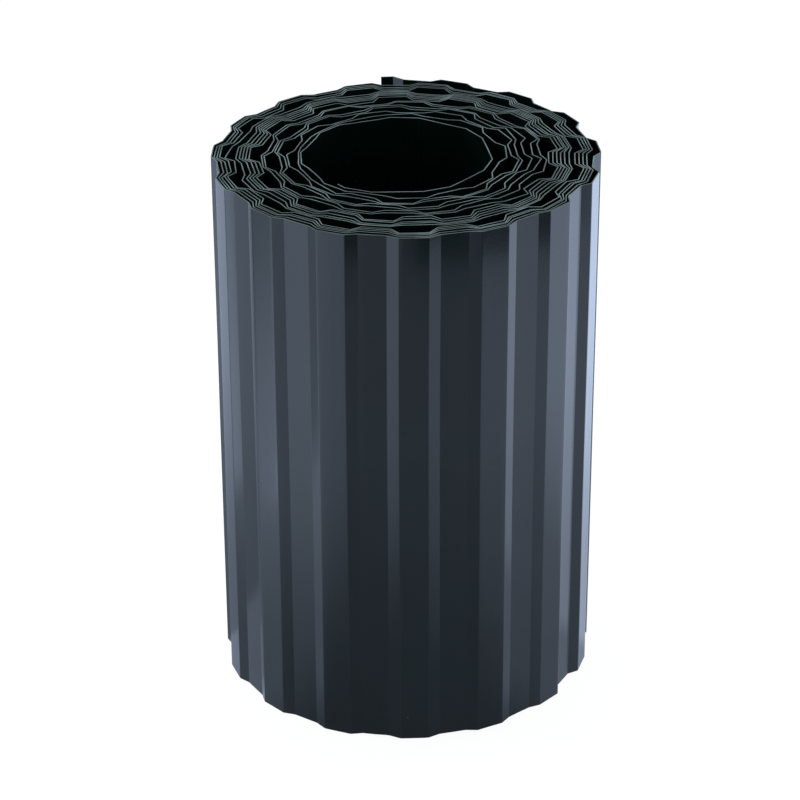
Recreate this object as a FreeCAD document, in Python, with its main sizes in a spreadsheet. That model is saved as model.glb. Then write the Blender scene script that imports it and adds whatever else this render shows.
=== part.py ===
# Corrugated plastic lawn edging: one long strip, wound into a roll that stands on its end.
# Millimetres, +Z up. The roll's footprint is centred on the origin and its lower rim lies at Z = 0.
# Seen from above, the strip starts inside the bore and winds outwards anticlockwise.
import FreeCAD
import Part

import math
import os
from bisect import bisect_right

TURN = 2 * math.pi

# Driving dimensions. Angles are in degrees, anticlockwise seen from above.
SIZES = [
    ("strip_height", 250.0),  # the edging's height, and the roll's as it stands
    ("strip_length", 7680.0),  # the sheet's length, measured along its folds
    ("wall_thickness", 0.5),
    ("flat_width", 12.4),  # a crest's or a trough's flat, from fold to fold
    ("web_run", 3.2),  # the slanting web between two flats, measured along the strip
    ("wave_depth", 4.6),  # crest to trough, on the sheet's middle
    ("least_depth", 1.3),  # what is left of a wave's depth where it is pulled open to nest
    ("least_run", 0.3),  # what is left of a web's run where it is pushed together to nest
    ("bore_radius", 41.3),
    ("bore_shift", 3.8),  # how far the bore's centre lies off the winding axis
    ("bore_side", -68.0),  # the direction of that shift, from the inner end
    ("turn_gap", 0.04),  # least air between one turn and the next
    ("slack", 0.49),  # more air between turns, at the side where they lie loosest
    ("slack_side", 51.0),  # the direction of that side, from the inner end
    ("settling", 0.56),  # how far one wave may lie below the wave before it
    ("inner_end_depth", 1.0),  # the first wave's depth, flattened by the tight bend
    ("flattened_length", 1100.0),  # over this length the waves come up to their full depth
    ("loose_length", 216.0),  # the outer end's stretch, whose waves rest on the turn beneath unnested
    ("loose_depth", 3.45),  # its waves' depth
    ("outer_end_flat", 5.5),  # what the cut leaves of the last crest
    ("outer_end_lift", 5.0),  # how far the outer end springs off the roll
    ("outer_end_sprung", 42.0),  # the length of strip that springs off
    ("outer_end_angle", 96.8),  # where the outer end points, from +X
]


def make_sheet(doc):
    sheet = doc.addObject("Spreadsheet::Sheet", "Sizes")
    for row, (name, value) in enumerate(SIZES, start=1):
        sheet.set(f"A{row}", name)
        sheet.set(f"B{row}", str(value))
        sheet.setAlias(f"B{row}", name)
    doc.recompute()
    return sheet


def size(sheet, name):
    return float(sheet.get(name))


def left_of(before, after):
    direction = (after - before).normalize()
    return FreeCAD.Vector(-direction.y, direction.x, 0)


def side_point(before, corner, after, offset):
    # A corner moved to its left by the offset from both of its segments. At an end of the line the
    # corner has one segment, and the other neighbour is None.
    lefts = [left_of(*pair) for pair in ((before, corner), (corner, after)) if None not in pair]
    mitre = (lefts[0] + lefts[-1]).normalize()
    return corner + mitre * (offset / mitre.dot(lefts[0]))


def side_line(corners, offset):
    befores = [None] + corners[:-1]
    afters = corners[1:] + [None]
    return [side_point(*places, offset) for places in zip(befores, corners, afters)]


class Line:
    # A folded line of corners, each an angle and a radius about the winding axis.

    def __init__(self):
        self.angles = []
        self.radii = []

    def add(self, angle, radius):
        self.angles.append(angle)
        self.radii.append(radius)

    def corner(self, i, turned=0.0):
        angle = self.angles[i] + turned
        return FreeCAD.Vector(self.radii[i] * math.cos(angle), self.radii[i] * math.sin(angle), 0)

    def radius_at(self, angle):
        # Where the line crosses this angle: a point on the chord between two corners.
        i = max(1, min(bisect_right(self.angles, angle), len(self.angles) - 1))
        before, after = self.angles[i - 1], self.angles[i]
        low, high = self.radii[i - 1], self.radii[i]
        return low * high * math.sin(after - before) / (
            low * math.sin(angle - before) + high * math.sin(after - angle))


class Winding:
    # The sheet's middle, wound wave by wave, each as low as the turn beneath lets it lie. The turns
    # nest in groups: within a group a wave is as wide as the wave beneath it, and opens up for that.
    # Where it would be pulled too flat, a new group begins, with more waves to the turn, and its
    # first turn makes a row of cells with the turn beneath.

    def __init__(self, sheet):
        self.flat = size(sheet, "flat_width")
        self.depth = size(sheet, "wave_depth")
        self.least_depth = size(sheet, "least_depth")
        self.least_run = size(sheet, "least_run")
        self.web = math.hypot(size(sheet, "web_run"), self.depth)
        self.wave_length = 2 * (self.flat + self.web)
        self.clearance = size(sheet, "wall_thickness") + size(sheet, "turn_gap")
        self.slack = size(sheet, "slack")
        self.slack_side = math.radians(size(sheet, "slack_side"))
        self.bore = size(sheet, "bore_radius")
        self.bore_shift = size(sheet, "bore_shift")
        self.bore_side = math.radians(size(sheet, "bore_side"))
        self.settling = size(sheet, "settling")
        self.inner_depth = size(sheet, "inner_end_depth")
        self.flattened = size(sheet, "flattened_length")
        self.loose_depth = size(sheet, "loose_depth")
        self.last_flat = size(sheet, "outer_end_flat")
        self.lift = size(sheet, "outer_end_lift")
        self.sprung = size(sheet, "outer_end_sprung")

        # the inner end is what the whole waves leave over
        length = size(sheet, "strip_length") - self.last_flat
        self.count = int(length // self.wave_length)
        self.begun = length - self.count * self.wave_length
        self.first_loose = self.count - round(size(sheet, "loose_length") / self.wave_length)

        self.line = Line()
        self.floor = Line()  # the turn beneath, moved out by the sheet and the least air
        self.crests = []  # where each whole wave begins

    def bore_at(self, angle):
        turned = angle - self.bore_side
        across = self.bore_shift * math.sin(turned)
        return math.sqrt(self.bore**2 - across**2) + self.bore_shift * math.cos(turned)

    def air(self, angle):
        return self.slack * (1 + math.cos(angle - self.slack_side)) / 2

    def run(self, depth):
        return math.sqrt(max(self.web**2 - depth**2, self.least_run**2))

    def depth_over(self, span, middle):
        # The depth at which a wave is as wide as this angle.
        run = span * middle / 2 - self.flat
        return math.sqrt(self.web**2 - min(max(run, self.least_run), self.web)**2)

    def wave(self, start, middle, depth):
        # The five corners of a wave that begins with its crest: angles, and heights off the middle.
        run = self.run(depth)
        places = [0, self.flat, self.flat + run, 2 * self.flat + run, 2 * (self.flat + run)]
        angles = [start + place / middle for place in places]
        return angles, [depth / 2, depth / 2, -depth / 2, -depth / 2, depth / 2]

    def plan(self, wave, start, middle, group):
        # The depth of a wave, and the group that it belongs to: how many waves the group has to the
        # turn, and how many of them its first turn still lacks.
        if wave >= self.first_loose:
            return self.loose_depth, group
        share = min(1.0, (self.begun + wave * self.wave_length) / self.flattened)
        own = self.inner_depth + (self.depth - self.inner_depth) * share
        span = 2 * (self.flat + self.run(own)) / middle
        if start + span < TURN:
            return own, group
        number, lacking = group
        if number and not lacking:
            beneath = self.crests[wave + 1 - number] - self.crests[wave - number]
            depth = self.depth_over(beneath, middle)
            if depth >= min(self.least_depth, own / 2):
                return depth, group
        if not lacking:
            number = lacking = round(TURN / span)
        return self.depth_over(TURN / number, middle), (number, lacking - 1)

    def needs(self, angles, heights):
        # Each angle at which a corner of this wave or of the floor lies, with the middle radius that
        # the wave needs there.
        for angle, height in zip(angles, heights):
            if angle - TURN >= self.floor.angles[0]:
                yield angle, self.floor.radius_at(angle - TURN) + self.air(angle) - height
        for i in range(bisect_right(self.floor.angles, angles[0] - TURN), len(self.floor.angles)):
            here = self.floor.angles[i] + TURN
            if here >= angles[-1]:
                break
            radius = self.floor.radii[i] + self.air(here)
            after = min(bisect_right(angles, here), len(angles) - 1)
            back, ahead = here - angles[after - 1], angles[after] - here
            share = back / (back + ahead)
            height = heights[after - 1] * (1 - share) + heights[after] * share
            sag = radius * (1 - math.cos((back + ahead) / 2) / math.cos((ahead - back) / 2))
            yield here, radius - height + sag

    def lowest_end(self, angles, heights, middle):
        # The lowest middle radius at this wave's end: it sinks only as far as it stays clear.
        end = middle - self.settling
        for angle, need in self.needs(angles, heights):
            share = (angle - angles[0]) / (angles[-1] - angles[0])
            if share > 0:
                end = max(end, middle + min(0.0, need - middle) / share)
        return end

    def lay(self, angle, radius):
        # The sheet's next corner. The one before it has both its segments now, so its floor is laid.
        self.line.add(angle, radius)
        last = len(self.line.angles) - 1
        if last > 0:
            before = self.line.corner(last - 2) if last > 1 else None
            corner = self.line.corner(last - 1)
            raised = side_point(before, corner, self.line.corner(last), -self.clearance)
            ahead = math.atan2(corner.cross(raised).z, corner.dot(raised))
            self.floor.add(self.line.angles[last - 1] + ahead, raised.Length)

    def lay_inner_end(self, middle):
        # The end of a wave, from where the cut at angle 0 meets it.
        angles, heights = self.wave((self.begun - self.wave_length) / middle, middle, self.inner_depth)
        first = bisect_right(angles, 0.0)
        share = -angles[first - 1] / (angles[first] - angles[first - 1])
        cut = heights[first - 1] * (1 - share) + heights[first] * share
        self.lay(0.0, middle + cut)
        for angle, height in zip(angles[first:], heights[first:]):
            self.lay(angle, middle + height)

    def sprung_off(self, wave):
        # How far the outer end has sprung off where this wave begins.
        left = (self.count - wave) * self.wave_length + self.last_flat
        return self.lift * (max(0.0, self.sprung - left) / self.sprung)**2

    def wind(self):
        middle = self.bore_at(0.0)
        self.lay_inner_end(middle)
        self.crests = [self.line.angles[-1]]
        group = (0, 0)
        for wave in range(self.count):
            start = self.crests[-1]
            depth, group = self.plan(wave, start, middle, group)
            angles, heights = self.wave(start, middle, depth)
            end = self.lowest_end(angles, heights, middle)
            if angles[-1] < TURN:
                end = self.bore_at(angles[-1])
            # the wave rises, if it has to, to where the next one will lie clear
            for attempt in range(3):
                following = self.plan(wave + 1, angles[-1], end, group)[0]
                ahead = self.needs(*self.wave(angles[-1], end, following))
                end = max([end] + [need for angle, need in ahead])
            end += self.sprung_off(wave + 1) - self.sprung_off(wave)
            for angle, height in zip(angles[1:], heights[1:]):
                share = (angle - start) / (angles[-1] - start)
                self.lay(angle, middle + (end - middle) * share + height)
            self.crests.append(angles[-1])
            middle = end
        self.lay(self.line.angles[-1] + self.last_flat / middle, self.line.radii[-1])

    def corners(self, end_angle):
        # The corners in the plane, turned so that the outer end points as it should.
        turned = end_angle - self.line.angles[-1]
        return [self.line.corner(i, turned) for i in range(len(self.line.angles))]


def make_section(doc, sheet):
    # The roll's section: the sheet's outer and inner side, closed by its two cut ends.
    winding = Winding(sheet)
    winding.wind()
    middle = winding.corners(math.radians(size(sheet, "outer_end_angle")))
    half = size(sheet, "wall_thickness") / 2
    outline = side_line(middle, -half) + side_line(middle, half)[::-1]
    face = Part.Face(Part.makePolygon(outline + outline[:1]))
    centre = face.BoundBox.Center
    section = doc.addObject("Part::Feature", "Section")
    section.Label = "roll_section"
    section.Shape = face
    section.Placement = FreeCAD.Placement(FreeCAD.Vector(-centre.x, -centre.y, 0), FreeCAD.Rotation())
    print("turns", round((winding.line.angles[-1] - winding.line.angles[0]) / TURN, 2))
    print("winding axis", round(-centre.x, 2), round(-centre.y, 2))
    return section


def make_strip(doc, section):
    strip = doc.addObject("Part::Extrusion", "Strip")
    strip.Label = "edging_strip"
    strip.Base = section
    strip.DirMode = "Custom"
    strip.Dir = FreeCAD.Vector(0, 0, 1)
    strip.Solid = True
    strip.setExpression("LengthFwd", "Sizes.strip_height")
    return strip


def check(doc, pieces):
    for thing in doc.Objects:
        if "Invalid" in thing.State or "Error" in thing.State:
            raise RuntimeError(f"{thing.Label} failed to build")
    for piece in pieces:
        if piece.Shape.isNull() or not piece.Shape.isValid():
            raise RuntimeError(f"{piece.Label} is not a valid solid")


doc = FreeCAD.newDocument("LawnEdging")
sizes = make_sheet(doc)
strip = make_strip(doc, make_section(doc, sizes))
doc.recompute()
check(doc, [strip])

os.makedirs("parts", exist_ok=True)
for piece in [strip]:
    piece.Shape.exportStep(f"parts/{piece.Label}.step")
    box = piece.Shape.BoundBox
    print(piece.Label, round(box.XLength, 2), round(box.YLength, 2), round(box.ZLength, 2))
    print("volume", round(piece.Shape.Volume), "faces", len(piece.Shape.Faces))
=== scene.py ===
import math

import bmesh
import bpy
from mathutils import Matrix, Vector, noise


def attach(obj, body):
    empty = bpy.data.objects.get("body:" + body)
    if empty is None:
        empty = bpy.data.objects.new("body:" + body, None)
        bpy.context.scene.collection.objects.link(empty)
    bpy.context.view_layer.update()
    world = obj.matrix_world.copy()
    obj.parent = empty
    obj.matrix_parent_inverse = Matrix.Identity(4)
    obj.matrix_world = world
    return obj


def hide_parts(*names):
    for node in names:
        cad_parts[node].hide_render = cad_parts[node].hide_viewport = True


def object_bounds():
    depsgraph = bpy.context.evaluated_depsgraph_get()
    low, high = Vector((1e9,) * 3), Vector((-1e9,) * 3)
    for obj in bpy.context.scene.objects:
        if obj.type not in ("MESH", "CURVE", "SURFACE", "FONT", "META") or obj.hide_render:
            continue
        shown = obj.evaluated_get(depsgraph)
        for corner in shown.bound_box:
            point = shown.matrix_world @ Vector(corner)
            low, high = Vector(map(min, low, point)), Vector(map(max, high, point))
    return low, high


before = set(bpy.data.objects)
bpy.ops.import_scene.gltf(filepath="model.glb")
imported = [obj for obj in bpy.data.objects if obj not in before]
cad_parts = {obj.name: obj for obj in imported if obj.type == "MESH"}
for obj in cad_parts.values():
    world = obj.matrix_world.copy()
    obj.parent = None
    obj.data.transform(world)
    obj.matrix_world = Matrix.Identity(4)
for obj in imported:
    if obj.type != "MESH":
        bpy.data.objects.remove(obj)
cadLow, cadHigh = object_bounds()
millimetre = 0.001
noise.seed_set(4)  # the bends of the sheet come out the same in each run


# A number or colour inside a shader, which plain expressions can add, multiply and so on
class Signal:
    def __init__(self, shader, socket):
        self.shader = shader
        self.socket = socket

    def maths(self, operation, *values):
        return self.shader.node("ShaderNodeMath", {"operation": operation}, dict(enumerate(values)))

    def __add__(self, other):
        return self.maths("ADD", self, other)

    def __radd__(self, other):
        return self.maths("ADD", other, self)

    def __sub__(self, other):
        return self.maths("SUBTRACT", self, other)

    def __rsub__(self, other):
        return self.maths("SUBTRACT", other, self)

    def __mul__(self, other):
        return self.maths("MULTIPLY", self, other)

    def __rmul__(self, other):
        return self.maths("MULTIPLY", other, self)

    def __truediv__(self, other):
        return self.maths("DIVIDE", self, other)

    def __rtruediv__(self, other):
        return self.maths("DIVIDE", other, self)

    def either(self, other):
        return self.maths("MAXIMUM", self, other)

    def size(self):
        return self.maths("ABSOLUTE", self)

    def between(self, low, high):
        # 0 below low, 1 above high, smooth from one to the other
        return self.shader.node("ShaderNodeMapRange", {"interpolation_type": "SMOOTHSTEP"},
                                {"Value": self, "From Min": low, "From Max": high})


# The node tree of a material or of the world
class Shader:
    def __init__(self, owner):
        owner.use_nodes = True
        self.tree = owner.node_tree
        self.tree.nodes.clear()

    def node(self, kind, settings=None, values=None, output=0):
        made = self.tree.nodes.new(kind)
        for name, value in (settings or {}).items():
            setattr(made, name, value)
        for name, value in (values or {}).items():
            if isinstance(value, Signal):
                self.tree.links.new(value.socket, made.inputs[name])
            else:
                made.inputs[name].default_value = value
        return Signal(self, made.outputs[output]) if made.outputs else None

    def place(self):
        return self.node("ShaderNodeTexCoord", output="Object")

    def part(self, vector, axis):
        return self.node("ShaderNodeSeparateXYZ", values={0: vector}, output=axis)

    def stretched(self, vector, x, y, z):
        return self.node("ShaderNodeVectorMath", {"operation": "MULTIPLY"}, {0: vector, 1: (x, y, z)})

    def noise(self, vector, scale, detail=2.0, roughness=0.5):
        return self.node("ShaderNodeTexNoise", values={
            "Vector": vector, "Scale": scale, "Detail": detail, "Roughness": roughness})

    def mixed(self, share, first, second):
        # two colours
        return self.node("ShaderNodeMix", {"data_type": "RGBA"},
                         {"Factor": share, 6: first, 7: second}, output=2)

    def ray(self, name):
        return self.node("ShaderNodeLightPath", output=name)


# The camera of the photograph, measured from the roll's winding axis in roll heights
photoView = {
    "windingAxis": (-0.8 * millimetre, -3.21 * millimetre),
    "away": 4.8218,
    "above": 3.1064,
    "pitch": 28.288,
    "turn": -0.111,
    "tilt": -0.216,
    "lens": 134.85,
    "sensorWidth": 36.0,
}


def makeCamera():
    view = photoView
    height = cadHigh.z - cadLow.z
    pitch, turn, tilt = (math.radians(view[name]) for name in ("pitch", "turn", "tilt"))
    forward = Vector((math.sin(turn) * math.cos(pitch), math.cos(turn) * math.cos(pitch), -math.sin(pitch)))
    level = Vector((math.cos(turn), -math.sin(turn), 0))
    upright = level.cross(forward)
    right = level * math.cos(tilt) + upright * math.sin(tilt)
    up = upright * math.cos(tilt) - level * math.sin(tilt)
    lens = bpy.data.cameras.new("photoCamera")
    lens.lens = view["lens"]
    lens.sensor_width = view["sensorWidth"]
    camera = bpy.data.objects.new("photoCamera", lens)
    bpy.context.scene.collection.objects.link(camera)
    axisX, axisY = view["windingAxis"]
    spot = Vector((axisX, axisY - view["away"] * height, view["above"] * height))
    turned = Matrix((right, up, -forward)).transposed()
    camera.matrix_world = Matrix.Translation(spot) @ turned.to_4x4()
    bpy.context.scene.camera = camera


# The white table. For glossy rays it glows with painted light, which the roll shows as painted reflections:
# brightest to its sides, with a narrow painted band out to the left and more to the back right, less to the
# back left and dimmer towards the camera, with painted shade near the roll's own foot and painted dark to the
# front right from about 0.58 m out, as if the table ended there.
# Each pair says where a change begins and ends: as a share of the way right, left or back, or for a reach and
# the band, in metres from the roll's axis.
tableLook = {
    "size": 8,
    "colour": (0.83, 0.84, 0.86, 1),
    "seenColour": (0.12, 0.12, 0.12, 1),
    "seenGlow": 0.935,
    "glowTint": (0.64, 0.76, 1.0, 1),
    "frontGlow": 0.50,
    "sidesGlow": 0.56,
    "sidesBack": (-0.92, -0.6),
    "leftSide": (0.3, 0.7),
    "leftGlow": 0.45,
    "leftFront": (0.0, 0.15),
    "leftReach": (0.12, 0.3),
    "bandGlow": 1.4,  # a narrow band of painted light that runs out to the left
    "bandSlope": 0.14,
    "bandStart": (-0.038, -0.030),
    "bandEnd": (-0.020, -0.012),
    "bandReach": (0.24, 0.29),
    "backLeftLoss": 0.4,
    "lossStart": (-0.10, -0.03),
    "lossEnd": (0.3, 0.9),
    "rightSide": (-0.1, 0.5),
    "backRightGlow": 0.58,
    "backRightBack": (-0.2, -0.04),
    "farRightGlow": 0.25,
    "farRightBack": (0.45, 0.7),
    "paintedFootShadeShare": 0.6,
    "openShare": 0.44,  # what the open table adds to the share that the painted shade leaves at the roll's foot
    "footReach": (0.06, 0.42),
    "paintedEdgeDark": 0.85,
    "edgeReach": (0.56, 0.60),
    "edgeRight": (0.0, 0.06),
    "edgeFront": (0.3, 0.6),
}


def makeTable():
    look = tableLook
    bpy.ops.mesh.primitive_plane_add(size=look["size"])
    table = bpy.context.object
    table.name = "whiteTable"
    table.location.z = cadLow.z
    material = bpy.data.materials.new("whiteTable")
    shader = Shader(material)
    place = shader.place()
    x = shader.part(place, "X")
    y = shader.part(place, "Y")
    squared = x * x + y * y
    reach = squared.maths("SQRT", squared)
    backwards = y / reach
    rightwards = x / reach
    frontwards = 0 - backwards
    leftwards = 0 - rightwards

    # painted light: the glow of the band, the sides and the back right, which the roll shows as painted
    # reflections
    aslant = y - look["bandSlope"] * x
    band = aslant.between(*look["bandStart"]) * (1 - aslant.between(*look["bandEnd"]))
    band = look["bandGlow"] * band * reach.between(*look["bandReach"])
    left = look["leftGlow"] * frontwards.between(*look["leftFront"]) * reach.between(*look["leftReach"])
    # painted shade: less glow to the back left
    loss = backwards.between(*look["lossStart"]) * (1 - backwards.between(*look["lossEnd"]))
    left = left + band - look["backLeftLoss"] * loss
    right = look["backRightGlow"] * backwards.between(*look["backRightBack"])
    right = right + look["farRightGlow"] * backwards.between(*look["farRightBack"])
    glow = look["frontGlow"] + look["sidesGlow"] * backwards.between(*look["sidesBack"])
    glow = glow + leftwards.between(*look["leftSide"]) * left + rightwards.between(*look["rightSide"]) * right
    # painted shade: the table's glow drops to 0.6 at the roll's foot, standing in for the shade the roll
    # casts there
    paintedFootShade = look["paintedFootShadeShare"] + look["openShare"] * reach.between(*look["footReach"])
    # painted dark: beyond about 0.58 m to the front right the glow falls by 0.85, as if the table ended
    # there; the table itself runs on
    paintedDarkPastEdge = reach.between(*look["edgeReach"]) * x.between(*look["edgeRight"])
    paintedDarkPastEdge = paintedDarkPastEdge * frontwards.between(*look["edgeFront"])
    strength = glow * paintedFootShade * (1 - look["paintedEdgeDark"] * paintedDarkPastEdge)

    mirrored = shader.node("ShaderNodeEmission", values={"Color": look["glowTint"], "Strength": strength})
    lit = shader.node("ShaderNodeBsdfDiffuse", values={"Color": look["colour"]})
    shadowed = shader.node("ShaderNodeBsdfDiffuse", values={"Color": look["seenColour"]})
    white = shader.node("ShaderNodeEmission", values={"Color": (1, 1, 1, 1), "Strength": look["seenGlow"]})
    seen = shader.node("ShaderNodeAddShader", values={0: shadowed, 1: white})
    reflected = shader.ray("Is Glossy Ray").either(shader.ray("Is Transmission Ray"))
    most = shader.node("ShaderNodeMixShader", values={0: reflected, 1: lit, 2: mirrored})
    final = shader.node("ShaderNodeMixShader", values={0: shader.ray("Is Camera Ray"), 1: most, 2: seen})
    shader.node("ShaderNodeOutputMaterial", values={"Surface": final})
    table.data.materials.append(material)


# The studio round the table
studioLook = {
    "ambient": (0.46, 0.50, 0.56, 1),
    "mirroredTint": (0.86, 0.93, 1, 1),
    "mirroredFront": 0.25,
    "mirroredBack": 0.75,  # what the back of the studio adds
    "behind": (-0.6, 0.5),
}


def makeStudio():
    look = studioLook
    world = bpy.data.worlds.new("whiteStudio")
    bpy.context.scene.world = world
    shader = Shader(world)
    direction = shader.node("ShaderNodeTexCoord", output="Generated")
    behind = shader.part(direction, "Y").between(*look["behind"])
    ambient = shader.node("ShaderNodeBackground", values={"Color": look["ambient"], "Strength": 1.0})
    strength = look["mirroredFront"] + look["mirroredBack"] * behind
    mirrored = shader.node("ShaderNodeBackground", values={
        "Color": look["mirroredTint"], "Strength": strength})
    white = shader.node("ShaderNodeBackground", values={"Color": (1, 1, 1, 1), "Strength": 1.0})
    glossy = shader.ray("Is Glossy Ray").either(shader.ray("Is Transmission Ray"))
    most = shader.node("ShaderNodeMixShader", values={0: glossy, 1: ambient, 2: mirrored})
    final = shader.node("ShaderNodeMixShader", values={0: shader.ray("Is Camera Ray"), 1: most, 2: white})
    shader.node("ShaderNodeOutputWorld", values={"Surface": final})


lampTint = (0.94, 0.97, 1.0)
lamps = {
    "overheadSoftbox": {"at": (-0.1, 0.35, 1.35), "width": 1.2, "depth": 1.0, "radiance": 1.6},
    "leftSoftbox": {"at": (-1.0, 0.1, 0.6), "width": 0.5, "depth": 0.9, "radiance": 2.2},
    "rightSoftbox": {"at": (0.9, 0.55, 0.55), "width": 0.35, "depth": 0.9, "radiance": 3.0},
}


def makeLamps():
    target = Vector((0, 0, (cadLow.z + cadHigh.z) / 2))
    for name, lamp in lamps.items():
        light = bpy.data.lights.new(name, "AREA")
        light.shape = "RECTANGLE"
        light.size = lamp["width"]
        light.size_y = lamp["depth"]
        light.energy = lamp["radiance"] * math.pi * lamp["width"] * lamp["depth"]
        light.color = lampTint
        made = bpy.data.objects.new(name, light)
        made.location = lamp["at"]
        made.rotation_euler = (target - made.location).to_track_quat("-Z", "Y").to_euler()
        bpy.context.scene.collection.objects.link(made)


# The strip: the sheet's middle line comes from the CAD node, and gets rounded folds, flats that
# bow a little, edges that don't quite line up, and the slight bends of thin plastic
stripShape = {
    "foldRadius": 0.7 * millimetre,
    "foldShare": 0.3,  # the most that a fold's rounding takes of the shorter segment beside it
    "bowedFrom": 8 * millimetre,  # shorter segments stay straight
    "bow": 0.2 * millimetre,
    "bowSpacing": 45 * millimetre,
    "bowSeed": 3.7,
    "curl": 0.35 * millimetre,  # of a flat's margins beside its folds, on the turns that show
    "curlSpacing": 13.5 * millimetre,
    "curlPlaces": ((0.13, 5.1), (0.87, 9.4)),  # how far along a flat each is, and its seed
    "curlBow": 0.45,  # the share of the flat's bow that is left there
    "shownRadius": 78 * millimetre,
    "bend": 0.3 * millimetre,
    "bendSpacing": (70 * millimetre, 70 * millimetre, 110 * millimetre),
    "edgeStep": 1.1 * millimetre,  # how far the turns' upper edges lie from one level
    "edgeSpacing": 70 * millimetre,
    "edgeSeed": 8.3,
    "sharpFrom": math.radians(60),
    "rows": 11,
}


def bottomOutline(node):
    # the closed outline of the node's lower face, point by point
    work = bmesh.new()
    work.from_mesh(node.data)
    bmesh.ops.remove_doubles(work, verts=work.verts, dist=0.001 * millimetre)
    work.normal_update()
    level = cadLow.z + 0.01 * millimetre
    following = {}
    for face in work.faces:
        if face.normal.z > -0.5 or face.calc_center_median().z > level:
            continue
        for corner in face.loops:
            across = [other for other in corner.edge.link_faces if other is not face]
            if any(abs(other.normal.z) < 0.5 for other in across):
                following[corner.vert] = corner.link_loop_next.vert
    start = next(iter(following))
    outline = [start]
    while following[outline[-1]] is not start:
        outline.append(following[outline[-1]])
    points = [Vector((vertex.co.x, vertex.co.y)) for vertex in outline]
    work.free()
    return points


def middleLine(outline):
    # the outline runs out along one side of the sheet and back along the other, so the true start
    # is where points paired across the sheet lie nearest each other
    half = len(outline) // 2
    first = min(range(half), key=lambda i: spread(outline, i, half))
    there = [outline[(first + i) % (2 * half)] for i in range(half)]
    back = [outline[(first - 1 - i) % (2 * half)] for i in range(half)]
    line = [(a + b) / 2 for a, b in zip(there, back)]
    thickness = (there[0] - back[0]).length
    if line[0].length > line[-1].length:
        line.reverse()
    return line, thickness


def spread(outline, first, half):
    # the widest distance between paired points, if the sheet's side began at this point
    return max((outline[(first + i) % (2 * half)] - outline[(first - 1 - i) % (2 * half)]).length
               for i in range(0, half, 7))


def wander(place, spacing, seed):
    # smooth noise from -1 to 1 that neighbouring turns share
    return noise.noise(Vector((place.x / spacing, place.y / spacing, seed)))


def finePoints(line):
    # the middle line with rounded folds and bowed flats: points, and how much of a fold each is
    shape = stripShape
    points = [(line[0], 0.0)]
    for before, corner, after in zip(line, line[1:], line[2:]):
        inward = (corner - before).normalized()
        outward = (after - corner).normalized()
        turn = inward.angle(outward, 0.0)
        shorter = min((corner - before).length, (after - corner).length)
        taken = min(shape["foldRadius"] * math.tan(turn / 2), shape["foldShare"] * shorter)
        entry = corner - inward * taken
        exit = corner + outward * taken
        start = points[-1][0]
        span = (entry - start).length
        if span > shape["bowedFrom"]:
            middle = (start + entry) / 2
            side = Vector((-inward.y, inward.x))
            depth = shape["bow"] * wander(middle, shape["bowSpacing"], shape["bowSeed"])
            bowed = [(0.5, depth)]
            if middle.length > shape["shownRadius"]:
                for share, seed in shape["curlPlaces"]:
                    curl = wander(middle, shape["curlSpacing"], seed)**3
                    bowed.append((share, depth * shape["curlBow"] + shape["curl"] * curl))
            for share, offset in sorted(bowed):
                points.append((start.lerp(entry, share) + side * offset, 0.0))
        rounded = entry * 0.25 + corner * 0.5 + exit * 0.25
        points += [(entry, 0.0), (rounded, 1.0), (exit, 0.0)]
    points.append((line[-1], 0.0))
    return points


def bent(place):
    # a point of the sheet moved by the slight bends, and kept inside the roll's box
    shape = stripShape
    sx, sy, sz = shape["bendSpacing"]
    drift = noise.noise_vector(Vector((place.x / sx, place.y / sy, place.z / sz)))
    x = place.x + drift.x * shape["bend"]
    y = place.y + drift.y * shape["bend"]
    return Vector((min(max(x, cadLow.x), cadHigh.x), min(max(y, cadLow.y), cadHigh.y), place.z))


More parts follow.
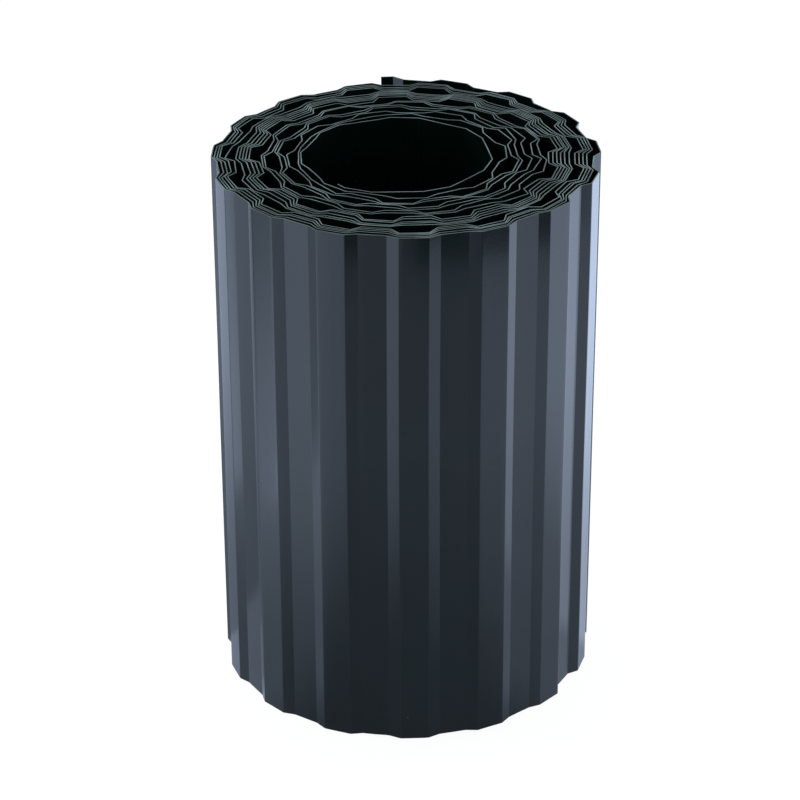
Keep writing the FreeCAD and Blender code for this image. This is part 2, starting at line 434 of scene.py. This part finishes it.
def makeStrip(material):
    shape = stripShape
    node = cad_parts["edging_strip"]
    line, thickness = middleLine(bottomOutline(node))
    points = finePoints(line)
    height = cadHigh.z - cadLow.z
    count = len(points)
    sides = []
    travelled = [0.0]
    for i in range(count):
        before = points[max(i - 1, 0)][0]
        after = points[min(i + 1, count - 1)][0]
        along = (after - before).normalized()
        sides.append(Vector((-along.y, along.x)) * thickness / 2)
        if i:
            travelled.append(travelled[-1] + (points[i][0] - points[i - 1][0]).length)
    vertices = []
    folds = []
    across = []
    rows = shape["rows"]
    for row in range(rows + 1):
        share = row / rows
        for sign in (1, -1):
            for i in range(count):
                dip = noise.noise(Vector((travelled[i] / shape["edgeSpacing"], shape["edgeSeed"], 0)))
                top = height - shape["edgeStep"] * (1 + dip) / 2
                spot = points[i][0] + sides[i] * sign
                vertices.append(bent(Vector((spot.x, spot.y, cadLow.z + top * share))))
                folds.append(points[i][1])
                across.append(sign)
    faces = []
    width = 2 * count
    for row in range(rows):
        low, high = row * width, (row + 1) * width
        for i in range(count - 1):
            faces.append((low + i + 1, low + i, high + i, high + i + 1))
            j = count + i
            faces.append((low + j, low + j + 1, high + j + 1, high + j))
        faces.append((low, low + count, high + count, high))
        faces.append((low + width - 1, low + count - 1, high + count - 1, high + width - 1))
    top = rows * width
    for i in range(count - 1):
        faces.append((i, i + 1, count + i + 1, count + i))
        faces.append((top + i + 1, top + i, top + count + i, top + count + i + 1))
    mesh = bpy.data.meshes.new("wound_strip")
    mesh.from_pydata(vertices, [], faces)
    mesh.attributes.new("fold", "FLOAT", "POINT").data.foreach_set("value", folds)
    mesh.attributes.new("across", "FLOAT", "POINT").data.foreach_set("value", across)
    mesh.update()
    strip = bpy.data.objects.new("wound_strip", mesh)
    bpy.context.scene.collection.objects.link(strip)
    bpy.context.view_layer.objects.active = strip
    strip.select_set(True)
    mesh.shade_smooth()
    mesh.set_sharp_from_angle(angle=shape["sharpFrom"])
    weighted = strip.modifiers.new("flatsStayFlat", "WEIGHTED_NORMAL")
    weighted.keep_sharp = True
    bpy.ops.object.modifier_apply(modifier=weighted.name)
    mesh.materials.append(material)
    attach(strip, "root")
    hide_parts("edging_strip")
    print("strip", count, "points,", sum(len(face.vertices) - 2 for face in mesh.polygons), "triangles")
    return strip


plasticLook = {
    "green": (0.0010, 0.0055, 0.0038, 1),
    "paleGreen": (0.0024, 0.0090, 0.0070, 1),
    "cloudScale": 28,
    "cloudRange": (0.35, 0.7),
    # the paler cut edge, made brighter to stand for the rims' highlights too: partly the cut's own colour,
    # partly painted highlight
    "cutEdgeAndHighlight": (0.140, 0.205, 0.195, 1),
    "dullCutEdge": (0.028, 0.054, 0.050, 1),
    "cutScale": 60,
    "cutRange": (0.40, 0.66),
    "cutFacing": (0.5, 0.8),  # how far up a cut edge faces, and the plain sheet doesn't
    "cutMargin": (0.45, 1.0),  # the cut edge dulls towards the sheet's two sides
    "cutRoughness": 0.3,
    "foldRange": (0.35, 1.0),
    "foldPaling": 0.1,
    "dust": (0.30, 0.33, 0.33, 1),
    "dustShare": 0.5,
    "speckScale": 95,
    "speckSpacing": 41,
    "speckSizes": (0.55, 0.8),
    "speckRadius": 0.012,
    "speckGrowth": 0.03,
    "speckSoftness": 0.008,
    "speckRoughness": 0.25,
    "roughness": 0.12,
    "smearStretch": (60, 60, 9),
    "smearRange": (0.52, 0.75),
    "smearRoughness": 0.08,
    "cloudRoughness": 0.05,
    "rollerStretch": (40, 40, 900),  # the fine lines that the rollers leave round the roll
    "rollerHeight": 0.25,
    "grainScale": 700,
    "grainHeight": 0.6,
    "cloudHeight": 0.8,
    "bumpStrength": 0.06,
    "bumpDistance": 0.4 * millimetre,
    "coat": 0.35,
    "coatRoughness": 0.04,
    "refraction": 1.52,
}


def makePlastic():
    look = plasticLook
    material = bpy.data.materials.new("greenPlastic")
    shader = Shader(material)
    place = shader.place()
    upward = shader.part(shader.node("ShaderNodeNewGeometry", output="True Normal"), "Z").size()
    cut = upward.between(*look["cutFacing"])
    fold = shader.node("ShaderNodeAttribute", {"attribute_name": "fold"}, output="Fac")
    fold = fold.between(*look["foldRange"])
    offMiddle = shader.node("ShaderNodeAttribute", {"attribute_name": "across"}, output="Fac").size()

    clouds = shader.noise(place, look["cloudScale"], 3)
    rollerLines = shader.noise(shader.stretched(place, *look["rollerStretch"]), 1, 2)
    smears = shader.noise(shader.stretched(place, *look["smearStretch"]), 1, 3, 0.6)
    smears = smears.between(*look["smearRange"])
    grain = shader.noise(place, look["grainScale"], 2)
    speckPlaces = shader.node("ShaderNodeTexVoronoi", values={"Vector": place, "Scale": look["speckScale"]})
    speckSizes = shader.noise(place, look["speckSpacing"], 1).between(*look["speckSizes"])
    specks = look["speckRadius"] + look["speckGrowth"] * speckSizes - speckPlaces
    specks = specks.between(0.0, look["speckSoftness"])

    sheet = shader.mixed(clouds.between(*look["cloudRange"]), look["green"], look["paleGreen"])
    sheet = shader.mixed(look["foldPaling"] * fold, sheet, look["cutEdgeAndHighlight"])
    sheet = shader.mixed(specks * look["dustShare"], sheet, look["dust"])
    # the cut edges are paler than the sheet; their brighter patches, placed by noise, are painted highlight
    cutHighlightPatches = shader.noise(place, look["cutScale"], 2).between(*look["cutRange"])
    cutHighlightPatches = cutHighlightPatches * (1 - offMiddle.between(*look["cutMargin"]))
    edge = shader.mixed(cutHighlightPatches, look["dullCutEdge"], look["cutEdgeAndHighlight"])
    colour = shader.mixed(cut, sheet, edge)
    roughness = look["roughness"] + look["smearRoughness"] * smears + look["cloudRoughness"] * clouds
    roughness = roughness + look["speckRoughness"] * specks + look["cutRoughness"] * cut
    height = look["rollerHeight"] * rollerLines + look["grainHeight"] * grain + look["cloudHeight"] * clouds
    bump = shader.node("ShaderNodeBump", values={
        "Strength": look["bumpStrength"], "Distance": look["bumpDistance"], "Height": height})
    surface = shader.node("ShaderNodeBsdfPrincipled", values={
        "Base Color": colour, "Roughness": roughness, "IOR": look["refraction"],
        "Coat Weight": look["coat"] * (1 - cut), "Coat Roughness": look["coatRoughness"], "Normal": bump})
    shader.node("ShaderNodeOutputMaterial", values={"Surface": surface})
    return material


bpy.context.scene.view_settings.view_transform = "Standard"
makeCamera()
makeTable()
makeStudio()
makeLamps()
print("camera, table and lamps are made")
makeStrip(makePlastic())
print("strip is made")
